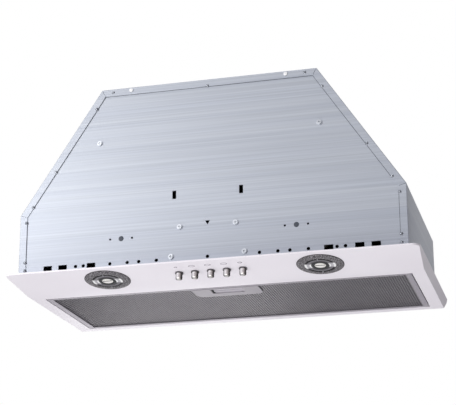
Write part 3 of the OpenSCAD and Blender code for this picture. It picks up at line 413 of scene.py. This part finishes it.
finish = {
    "sheet": rolledSheet(),
    "enamel": bakedEnamel(),
    "screw": zincPlate("zincPlatedScrew", "#a9adb4", "#878b93", 0.17),
    "panScrew": zincPlate("zincPlatedPanScrew", "#dce0e6", "#c8ccd3", 0.5),
    "zinc": zincPlate("zincPlatedBracket", "#b3b8c0", "#a0a4ab", 0.38),
    "bezel": fleckedPaint(),
    "lens": lensGlass(),
    "reflector": silverWithPaintedFlanks("evaporatedReflector", "#4b494e", "#98969b", "#ffffff", 0.3),
    "satin": silverWithPaintedFlanks("evaporatedSatinRing", "#7c7a7f", "#86848a", "#c4c2c7", 0.4),
    "paintedLightRim": silverWithPaintedFlanks("evaporatedLensRim", "#0b0a0c", "#3a383c", "#ffffff", 0.4),
    "bulb": frostedGlass(),
    "ceramic": ceramicBody(),
    "spring": drawnMetal("drawnSpringSteel", "#c2c4c8", 0.22, (30, 1400, 1400)),
    "collarGrey": moulded("mouldedCollarGrey", "#4a474c", "#5e5b60", 0.35, 0.6, 0.2),
    "black": moulded("mouldedBlackNylon", "#1c1d1f", "#2b2c2f", 0.5, 0.9),
    "nylon": moulded("mouldedWhiteNylon", "#f6f6f8", "#ffffff", 0.4, 0.9),
    "board": circuitBoard(),
    "can": drawnMetal("drawnAluminiumCan", "#c8c9cc", 0.36, (20, 20, 800)),
    "motor": motorPaint(),
    # dark grey for the seam's bead, painted shadow along the flange's lip
    "seamShade": moulded("darkSeamShadeGrey", "#4f535b", "#5d616a", 0.6, 1.5),
    "slate": moulded("mouldedSlatePlug", "#3b414c", "#464c58", 0.5, 1.5),
    "rubber": moulded("mouldedGrommetRubber", "#0e0e10", "#18191b", 0.75, 1.2),
    "wire": moulded("drawnWireSleeve", "#5d4f46", "#7c6b5f", 0.38, 4.0, 0.2),
    "rail": anodisedRail(),
    "mesh": expandedAluminium(),
    "wool": filterWool(),
    "handle": handlePlastic(),
    # the latch slider's paler plastic is painted light, lifting the shade in the finger recess
    "latch": moulded("mouldedLatchAbsPaintedLight", "#c9c5cc", "#d3cfd6", 0.38, 0.7, 0.1),
    "chrome": chromedPlastic(),
    "markPale": moulded("screenPrintPale", "#857f89", "#8e8891", 0.5, 0.5),
    "markDark": moulded("screenPrintDark", "#454048", "#514c55", 0.5, 0.5),
    "flap": moulded("mouldedFlapPlastic", "#3f4145", "#4b4d51", 0.42, 0.9),
    "wheel": moulded("mouldedFanNylon", "#33363c", "#40434a", 0.5, 1.0),
}
slotFinish = {
    "casing_sheet": "sheet", "enamel": "enamel", "screw_zinc": "screw", "bezel_grey": "bezel",
    "lens_glass": "lens", "reflector_silver": "reflector", "bulb_frosted": "bulb",
    "ceramic_white": "ceramic", "spring_steel": "spring", "collar_grey": "collarGrey",
    "black_plastic": "black", "bracket_zinc": "zinc", "terminal_board": "board",
    "capacitor_case": "can", "motor_steel": "motor", "grommet_rubber": "rubber",
    "wire_sleeve": "wire", "filter_rail": "rail", "filter_mesh_grey": "mesh",
    "filter_wool": "wool", "handle_lilac": "handle", "button_chrome": "chrome",
    "flap_plastic": "flap", "wheel_plastic": "wheel",
}
nodeSlot = {part["node"]: part["material_slot"] for part in frame["record"]["subparts"]}
# nodes whose look differs from that of their slot
# the latch slider's paler finish is painted light against the shade in its recess
ownFinish = {"latch_slider": "latch", "front_screws": "panScrew"}
for name, obj in nodes.items():
    obj.data.materials.clear()
    obj.data.materials.append(finish[ownFinish.get(name, slotFinish[nodeSlot[name]])])
print("materials: every CAD node has its finish")


def dress(piece, material, body):
    piece.data.materials.clear()
    piece.data.materials.append(finish[material])
    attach(piece, body)


def takePlace(piece, node, body):  # the piece stands for the node and has the node's finish
    piece.data.materials.clear()
    piece.data.materials.append(finish[slotFinish[nodeSlot[node]]])
    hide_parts(node)
    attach(piece, body)


wrapFold = {
    "fold": (1.0 * mm, 3),  # width and segments of the round on the outer fold
    "lip": (0.7 * mm, 1),  # and of the chamfer on the flange's inner lip
    "shortest": 14 * mm,  # anything below this belongs to a notch or hole
    "facing": 0.9,  # a face turned this far to the front or back is the flange itself
    "square": 0.1,  # and one turned less than this stands square to it
    "smooth": math.radians(18),
}
bead = {
    "width": 0.55 * mm,
    "high": 0.4 * mm,
    "round": 0.4,  # as a share of its height
    "segments": 2,
}


def flangeEdges(piece, outside):  # the long edges of both flanges, on their outer fold or inner lip
    heart = (Vector(piece.bound_box[0]) + Vector(piece.bound_box[6])) / 2
    beside = {}
    for face in piece.data.polygons:
        for key in face.edge_keys:
            beside.setdefault(key, []).append(face)
    found = []
    for edge in piece.data.edges:
        a, b = (piece.data.vertices[i].co for i in edge.vertices)
        faces = beside[edge.key]
        flat = [f for f in faces
                if abs(f.normal.y) > wrapFold["facing"] and f.normal.y * (f.center.y - heart.y) > 0]
        upright = [f for f in faces if abs(f.normal.y) < wrapFold["square"]]
        if (a - b).length > wrapFold["shortest"] and flat and upright:
            if (upright[0].normal.dot((a + b) / 2 - heart) > 0) == outside:
                found.append(edge)
    return found


def foldedSheet(name, node):
    piece = bevelledCopy(name, node, 0)
    for outside, (width, segments) in ((True, wrapFold["fold"]), (False, wrapFold["lip"])):
        edges = flangeEdges(piece, outside)
        pick(piece)
        for part in (piece.data.vertices, piece.data.edges, piece.data.polygons):
            part.foreach_set("select", [False] * len(part))
        for edge in edges:
            edge.select = True
        bpy.ops.object.mode_set(mode="EDIT")
        bpy.ops.mesh.select_mode(type="EDGE")
        bpy.ops.mesh.bevel(offset=width, segments=segments, affect="EDGES")
        bpy.ops.object.mode_set(mode="OBJECT")
    pick(piece)
    bpy.ops.object.shade_smooth_by_angle(angle=wrapFold["smooth"])
    return piece


# the bead lies in the corner between the front flange's lip and the front sheet: a dark grey strip that stands as
# painted shadow along the seam
def seamShadeBead(name, node):
    width, high = bead["width"], bead["high"]
    sheet = bevelledCopy("lipGuide", node, 0)
    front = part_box("front_sheet")[0].y
    heart = middle(node)
    lines = [[sheet.data.vertices[i].co.copy() for i in edge.vertices]
             for edge in flangeEdges(sheet, False)]
    bars = []
    for a, b in lines:
        if a.y > heart.y:
            continue
        run = b - a
        inward = Vector((-run.z, 0, run.x)).normalized()
        inward *= 1 if inward.dot(heart - a) > 0 else -1
        deselect()
        bpy.ops.mesh.primitive_cube_add(size=1)
        bar = bpy.context.object
        bar.scale = (run.length + width, high, width)
        bar.rotation_euler = (0, -math.atan2(run.z, run.x), 0)
        corner = Vector(((a.x + b.x) / 2, front - high / 2, (a.z + b.z) / 2))
        bar.location = corner + inward * width / 2
        freeze(bar)
        useModifier(bar, "BEVEL", width=high * bead["round"], segments=bead["segments"])
        bars.append(bar)
    bpy.data.objects.remove(sheet)
    pick(*bars)
    bpy.ops.object.join()
    bars[0].name = name
    return bars[0]


# folded and moulded parts get their rounded edges
rounded = {  # name, body, and width of the round in mm
    "fascia_panel": ("fasciaTray", "casing", 0.45),
    "front_sheet": ("casingFrontSheet", "casing", 0.3),
    "rear_sheet": ("casingRearSheet", "casing", 0.3),
    "filter_frame": ("filterRails", "filter", 0.3),
    "handle_plate": ("handleCup", "filter", 0.4),
    "lamp_bezel_left": ("lampRingLeft", "casing", 0.5),
    "lamp_bezel_right": ("lampRingRight", "casing", 0.5),
}
for node, (name, body, width) in rounded.items():
    takePlace(bevelledCopy(name, node, width * mm), node, body)
takePlace(foldedSheet("casingWrapSheet", "casing_wrap"), "casing_wrap", "casing")
dress(seamShadeBead("seamShadowLine", "casing_wrap"), "seamShade", "casing")
print("edges: rounded", len(rounded) + 1, "parts")


# stretched mesh on both faces of the filter
meshCell = {
    "pitch": 3.2 * mm,  # from one column of slits to the next
    "length": 6.4 * mm,  # one slit with its bridge, along the depth
    "strand": 0.85 * mm,  # half width of a strand
    "ends": 0.55,  # how far the slit's ends are pinched
    "twist": 14,  # degrees that a strand is turned out of flat
    "thick": 0.3 * mm,
    "corners": 6,
    "merge": 0.01 * mm,
    "midBand": 0.05 * mm,  # corners nearer than this to the cell's middle line stay where they are
    "plateLap": 2.5 * mm,  # the handle's plate covers the cut ends
    # middle, half width and depth of the hole for the handle's cup, and of the slot for the latch
    "cup": (1.0 * mm, 22.4 * mm, 24.1 * mm),
    "slide": (1.0 * mm, 8.9 * mm, 35.0 * mm),
}


def stretchedSheet(name, node):
    c = meshCell
    low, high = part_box(node)
    deselect()
    bpy.ops.mesh.primitive_circle_add(vertices=c["corners"], radius=1, fill_type="NGON",
                                      rotation=(0, 0, math.radians(30)))
    cell = bpy.context.object
    cell.name = name
    freeze(cell)

    def ends():  # selects the four end corners, not the two in the middle
        bpy.ops.object.mode_set(mode="OBJECT")
        for vertex in cell.data.vertices:
            vertex.select = vertex.select and abs(vertex.co.y) > c["midBand"]
        bpy.ops.object.mode_set(mode="EDIT")

    bpy.ops.object.mode_set(mode="EDIT")
    bpy.ops.mesh.select_mode(type="VERT")
    bpy.ops.mesh.select_all(action="SELECT")
    ends()
    bpy.ops.transform.resize(value=(2, 1, 1))  # a plate with a point half way along each long side
    bpy.ops.mesh.select_all(action="SELECT")
    bpy.ops.transform.resize(value=(c["pitch"] / 2, c["length"] / math.sqrt(3), 1))
    bpy.ops.mesh.inset(thickness=c["strand"])
    bpy.ops.transform.rotate(value=math.radians(c["twist"]), orient_axis="Y",
                             center_override=(0, 0, 0))
    bpy.ops.mesh.delete(type="ONLY_FACE")
    bpy.ops.object.mode_set(mode="OBJECT")
    for vertex in cell.data.vertices:
        vertex.select = vertex.index >= c["corners"]  # the corners that the inset made
    bpy.ops.object.mode_set(mode="EDIT")
    ends()
    bpy.ops.transform.resize(value=(c["ends"], 1, c["ends"]), center_override=(0, 0, 0))
    bpy.ops.object.mode_set(mode="OBJECT")
    steps = (((c["pitch"], c["length"] / 2, 0), 2),
             ((2 * c["pitch"], 0, 0), math.ceil((high.x - low.x) / c["pitch"] / 2) + 1),
             ((0, c["length"], 0), math.ceil((high.y - low.y) / c["length"]) + 1))
    for offset, count in steps:
        useModifier(cell, "ARRAY", count=count, use_relative_offset=False, use_constant_offset=True,
                    constant_offset_displace=offset, use_merge_vertices=True,
                    merge_threshold=c["merge"])
    cell.location = (low.x, low.y, (low.z + high.z) / 2)
    freeze(cell)
    bpy.ops.object.mode_set(mode="EDIT")
    # what passes the sheet's four edges is cut off
    for point, way in ((low, (-1, 0, 0)), (high, (1, 0, 0)), (low, (0, -1, 0)), (high, (0, 1, 0))):
        bpy.ops.mesh.select_all(action="SELECT")
        bpy.ops.mesh.bisect(plane_co=point, plane_no=way, clear_outer=True)
    bpy.ops.mesh.select_all(action="DESELECT")
    bpy.ops.object.mode_set(mode="OBJECT")
    return cell


def cutAndThicken(sheet, holes):
    pick(sheet)
    for face in sheet.data.polygons:
        x, y = face.center.x, face.center.y
        face.select = any(left < x < right and front < y < back
                          for left, right, front, back in holes)
    bpy.ops.object.mode_set(mode="EDIT")
    bpy.ops.mesh.delete(type="FACE")
    bpy.ops.object.mode_set(mode="OBJECT")
    useModifier(sheet, "SOLIDIFY", thickness=meshCell["thick"], offset=0)
    return sheet


frontMesh = stretchedSheet("filterStretchedMesh", "filter_mesh")
toBack = middle("filter_back_mesh") - middle("filter_mesh")
backMesh = twin(frontMesh, "filterBackStretchedMesh", toBack)
plateLow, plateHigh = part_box("handle_plate")
lap = meshCell["plateLap"]
plateHole = (plateLow.x + lap, plateHigh.x - lap, plateLow.y + lap, plateHigh.y - lap)
takePlace(cutAndThicken(frontMesh, [plateHole]), "filter_mesh", "filter")
backHoles = [(x - half, x + half, plateLow.y - lap, plateLow.y + depth)
             for x, half, depth in (meshCell["cup"], meshCell["slide"])]
takePlace(cutAndThicken(backMesh, backHoles), "filter_back_mesh", "filter")
print("filter: stretched mesh laid on both faces of the core")


# shapes shared by the small pieces
turned = {"sides": 64, "smooth": math.radians(28)}
slabRound = {"share": 0.3, "sharp": math.radians(60), "segments": 2, "cornerSegments": 4}


# pieces on the control strip are made flat at the origin, then laid on it
def layOnStrip(obj, node, depth):
    obj.rotation_euler = (stripTilt, 0, 0)
    obj.location = middle(node) + stripIn * depth
    freeze(obj)


def addRing(name, radius, sides):
    deselect()
    bpy.ops.mesh.primitive_circle_add(vertices=sides, radius=radius)
    ring = bpy.context.object
    ring.name = name
    return ring


def turnedShell(name, profile, thick):  # a thin wall through (radius, depth) points, given in mm
    profile = [(radius * mm, depth * mm) for radius, depth in profile]
    shell = addRing(name, profile[0][0], turned["sides"])
    bpy.ops.object.mode_set(mode="EDIT")
    bpy.ops.mesh.select_all(action="SELECT")
    bpy.ops.transform.translate(value=(0, 0, profile[0][1]))
    for (r0, z0), (r1, z1) in zip(profile, profile[1:]):
        bpy.ops.mesh.extrude_edges_move(TRANSFORM_OT_translate={"value": (0, 0, z1 - z0)})
        bpy.ops.transform.resize(value=(r1 / r0, r1 / r0, 1), center_override=(0, 0, 0))
    bpy.ops.mesh.select_all(action="SELECT")
    bpy.ops.mesh.normals_make_consistent(inside=False)
    bpy.ops.object.mode_set(mode="OBJECT")
    useModifier(shell, "SOLIDIFY", thickness=thick, offset=0)
    pick(shell)
    bpy.ops.object.shade_smooth_by_angle(angle=turned["smooth"])
    return shell


# inside each lamp's ring: a black ring round the bezel and a rim, both carrying painted shadow, stepped bowl,
# clamp with two tabs, dome and bar
lamp = {
    "glassMid": 0.31 * mm,  # the lens's middle, inward from the strip's face
    # the rings, as (radius, depth) in mm
    # a thin black ring just round the bezel: painted shadow at its outer edge
    "bezelShade": ((29.3, -0.16), (29.15, -0.4), (28.75, -0.42)),
    "rim": ((19.3, -1.75), (18.6, -2.0), (16.7, -1.95)),
    "optic": ((17.0, -1.8), (16.2, -1.5), (15.2, -1.85), (14.2, -1.55), (13.2, -1.8)),
    "step": ((13.2, -1.85), (12.2, -1.6), (11.2, -1.75)),
    "clamp": ((11.2, -1.7), (10.6, -2.0), (7.6, -2.0), (7.0, -1.7)),
    "dome": ((7.0, -1.6), (6.2, -1.85), (4.4, -2.0), (2.2, -2.05), (0.1, -2.05)),
    "tab": (0.75 * mm, 1.45 * mm, 0.3 * mm, 0.3 * mm),  # half width, half length, thickness, corner
    "tabPlace": (18.0 * mm, -2.3 * mm),  # from the lens's middle along the depth, and its height
    "bar": (6.2 * mm, 0.8 * mm, 0.3 * mm, 0.4 * mm),  # half length, half width, thickness, corner
    "barPlace": (-1.2 * mm, -2.25 * mm),
}


def roundedSlab(name, halfX, halfY, thick, corner):
    deselect()
    bpy.ops.mesh.primitive_plane_add(size=2)
    slab = bpy.context.object
    slab.name = name
    slab.scale = (halfX, halfY, 1)
    freeze(slab)
    bpy.ops.object.mode_set(mode="EDIT")
    bpy.ops.mesh.select_all(action="SELECT")
    bpy.ops.mesh.bevel(offset=corner, segments=slabRound["cornerSegments"], affect="VERTICES")
    bpy.ops.object.mode_set(mode="OBJECT")
    useModifier(slab, "SOLIDIFY", thickness=thick, offset=0)
    width = thick * slabRound["share"]
    useModifier(slab, "BEVEL", width=width, segments=slabRound["segments"], limit_method="ANGLE",
                angle_limit=slabRound["sharp"])
    return slab


rings = (  # name, profile, wall in mm, material, slot
    # the first ring is black rubber standing as painted shadow round the bezel's edge
    ("lampGasket", "bezelShade", 0.3, "rubber", "grommet_rubber"),
    # the rim's black front and back are painted shadow of the gap behind the lens, and its white flanks are
    # painted highlights
    ("lampRim", "rim", 0.3, "paintedLightRim", "reflector_silver"),
    ("lampOptic", "optic", 0.3, "satin", "reflector_silver"),
    ("lampStep", "step", 0.3, "reflector", "reflector_silver"),
    ("lampClamp", "clamp", 0.4, "black", "black_plastic"),
    ("lampDome", "dome", 0.3, "bulb", "bulb_frosted"),
)
lampParts = []
for name, key, wall, material, slot in rings:
    piece = turnedShell(name + "Left", lamp[key], wall * mm)
    lampParts.append((piece, name, material, slot))
front = roundedSlab("lampTabFrontLeft", *lamp["tab"])
front.location = (0, -lamp["tabPlace"][0], lamp["tabPlace"][1])
freeze(front)
rear = twin(front, "lampTabRearLeft", (0, 2 * lamp["tabPlace"][0], 0))
bar = roundedSlab("lampBarLeft", *lamp["bar"])
bar.location = (0, *lamp["barPlace"])
freeze(bar)
lampParts += [(front, "lampTabFront", "spring", "spring_steel"),
              (rear, "lampTabRear", "spring", "spring_steel"),
              (bar, "lampBar", "bezel", "bezel_grey")]
lampShift = middle("lamp_glass_right") - middle("lamp_glass_left")
for piece, name, material, slot in lampParts:
    layOnStrip(piece, "lamp_glass_left", -lamp["glassMid"])
    dress(piece, material, "casing")
    dress(twin(piece, name + "Right", lampShift), material, "casing")
print("lamps: gaskets, rings, tabs, bars and domes fitted")


# small fittings: plugs in the top flange and in the front sheet's large holes, and a black block as painted shadow
# in the latch's notch
fitting = {
    "plug": ((2.4, -0.5), (2.2, -0.9), (1.2, -1.1), (0.1, -1.15)),  # radius and depth in mm
    "plugPlace": (102.5 * mm, 4.0 * mm),  # from the middle, and down from the top
    "hole": ((3.3, 0.3), (2.6, 0.15), (0.1, 0.15)),  # radius and depth in mm
    "holePlace": (112.7 * mm, 38.9 * mm),  # from the middle, and up from the casing's foot plane
    "wall": 0.3 * mm,
    "notchShade": (1.2 * mm, 8.6 * mm, 0.8 * mm, 0.4 * mm),  # half width, half length, thickness, corner
    "notchShadePlace": (-18.6 * mm, 13.3 * mm, 1.1 * mm),  # from the middle, the plate's front and face
}


def plugPair(name, profile, across, front, up, material):
    plug = turnedShell(name + "Left", profile, fitting["wall"])
    plug.rotation_euler = (math.radians(-90), 0, 0)
    plug.location = (-across, front, up)
    freeze(plug)
    dress(plug, material, "casing")
    dress(twin(plug, name + "Right", (2 * across, 0, 0)), material, "casing")


wrapLow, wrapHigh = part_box("casing_wrap")
across, down = fitting["plugPlace"]
plugPair("topPlug", fitting["plug"], across, wrapLow.y, wrapHigh.z - down, "nylon")
across, up = fitting["holePlace"]
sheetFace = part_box("front_sheet")[0].y
plugPair("fixingPlug", fitting["hole"], across, sheetFace, up, "slate")
# black rubber block standing as painted shadow at the left end of the finger recess
notchShade = roundedSlab("latchNotchShade", *fitting["notchShade"])
right, back, up = fitting["notchShadePlace"]
notchShade.location = (right, plateLow.y + back, plateLow.z + up)
freeze(notchShade)
dress(notchShade, "rubber", "filter")

# the latch's spring stands in for its node, with a mesh of its own
coil = bevelledCopy("latchSpringCoil", "latch_spring", 0)
takePlace(coil, "latch_spring", "filter")
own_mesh(coil)
print("fittings: plugs, latch stop and spring placed")


# a printed oval above each button
mark = {
    "sides": 32,
    "along": -16.8 * mm,  # from the button towards the front edge
    "edge": -2 * mm,  # height of the strip's front edge
    "line": 0.8 * mm,
    "high": 0.04 * mm,
    "off": (2.2 * mm, 1.6 * mm),  # half length and half width of each ring
    "speed": (4.2 * mm, 2.7 * mm),
    "light": (3.0 * mm, 2.0 * mm),
}


def printedMark(name, button, halfX, halfY):
    ring = addRing(name, 1.0, mark["sides"])
    ring.scale = (halfX, halfY, 1)
    freeze(ring)
    bpy.ops.object.mode_set(mode="EDIT")
    bpy.ops.mesh.select_all(action="SELECT")
    bpy.ops.mesh.extrude_edges_move()
    bpy.ops.transform.resize(value=(1 - mark["line"] / halfX, 1 - mark["line"] / halfY, 1),
                             center_override=(0, 0, 0))
    bpy.ops.object.mode_set(mode="OBJECT")
    useModifier(ring, "SOLIDIFY", thickness=mark["high"], offset=0)
    ring.rotation_euler = (stripTilt, 0, 0)
    place = middle("button_collars") + stripBack * mark["along"]
    place.x = middle(button).x
    onFace = Vector((0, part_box("fascia_panel")[0].y, mark["edge"]))
    place -= stripIn * ((place - onFace).dot(stripIn) + mark["high"] / 2)
    ring.location = place
    freeze(ring)
    return ring


speedMark = printedMark("markSpeedOne", "button_speed_1", *mark["speed"])
step = (buttonPitch, 0, 0)
secondMark = twin(speedMark, "markSpeedTwo", step)
for ring in (printedMark("markOff", "button_off", *mark["off"]), speedMark, secondMark,
             twin(secondMark, "markSpeedThree", step)):
    dress(ring, "markPale", "casing")
dress(printedMark("markLight", "button_light", *mark["light"]), "markDark", "casing")
print("strip: marks printed")


# camera and studio
studio = {
    "camera": (0.4663, -1.8075, -0.4995),
    "cameraTurn": (108.280, 0.195, 14.723),  # degrees
    "lens": 116.27,
    "sensor": 36,
    "skyAim": (-0.6, -0.55, -0.5),  # where most of the light comes from
    # from the side away from it to the side towards it
    "sky": [(0.0, "#807f7f"), (0.35, "#96959a"), (0.6, "#c8c6c8"), (1.0, "#e7e7e7")],
    "floor": -3.2,
    "floorSize": 40,
    "lights": {  # place, aim, watts, width
        "keyLight": ((-1.05, -1.3, 0.32), (-0.1, 0, 0.1), 14.1, 0.9),
        "fillLight": ((-0.22, -0.5, -1.4), (0, 0, 0), 12.5, 1.5),
        "edgeLight": ((0.65, 1.25, 0.45), (0.26, 0, 0.05), 0.55, 0.5),
        "rearLight": ((-0.39, 0.95, -0.25), (-0.05, 0, 0), 0.5, 0.4),
        "topLight": ((0, 0.5, 4.0), (0, 0, 0.3), 95.0, 3.0),
        "backLight": ((-0.9, 2.6, 0.9), (0, 0.1, 0.15), 36.0, 2.4),
    },
}

camera = bpy.data.objects.new("camera", bpy.data.cameras.new("camera"))
bpy.context.scene.collection.objects.link(camera)
camera.location = studio["camera"]
camera.rotation_euler = [math.radians(turn) for turn in studio["cameraTurn"]]
camera.data.lens = studio["lens"]
camera.data.sensor_width = studio["sensor"]
bpy.context.scene.camera = camera


def softLight(name, place, target, power, width):
    data = bpy.data.lights.new(name, "AREA")
    data.energy = power
    data.size = width
    light = bpy.data.objects.new(name, data)
    bpy.context.scene.collection.objects.link(light)
    light.location = place
    light.rotation_euler = (Vector(target) - Vector(place)).to_track_quat("-Z", "Y").to_euler()


for name, (place, aim, power, width) in studio["lights"].items():
    softLight(name, place, aim, power, width)

world = bpy.data.worlds.new("paleStudio")
bpy.context.scene.world = world
world.use_nodes = True
sky = world.node_tree
backdrop = sky.nodes["Background"]
towards = addNode(sky, "TexCoord").outputs["Generated"]
slope = addNode(sky, "VectorMath", {"operation": "DOT_PRODUCT", 1: studio["skyAim"]}, {0: towards})
band = addNode(sky, "MapRange", {"From Min": -1.0, "From Max": 1.0},
               {"Value": slope.outputs["Value"]})
shade = ramp(sky, band.outputs["Result"], studio["sky"])
# the eye sees plain white behind the hood
seen = addNode(sky, "LightPath").outputs["Is Camera Ray"]
addNode(sky, "Mix", {"data_type": "RGBA", 7: toLinear("#ffffff")}, {0: seen, 6: shade},
        {2: backdrop.inputs["Color"]})
bpy.context.scene.view_settings.view_transform = "Standard"

bpy.ops.mesh.primitive_plane_add(size=studio["floorSize"], location=(0, 0, studio["floor"]))
floor = bpy.context.object
floor.name = "studioFloor"
# matt background paper: plain and pale, with faint clouds
paper, tree, into, place = startMaterial("studioPaper", "#eeeeee", 0.0, 0.8,
                                         Emission_Color=toLinear("#a4a4a6"))
# its glow is seen by the camera alone and lights nothing
addNode(tree, "LightPath", None, None, {"Is Camera Ray": into["Emission Strength"]})
cloud = noise(tree, place, 3, 2)  # 330 mm
colourBy(tree, into, cloud, [(0.3, "#ebebec"), (0.7, "#f1f1f1")])
floor.data.materials.append(paper)
print("studio: camera, lights and floor set")
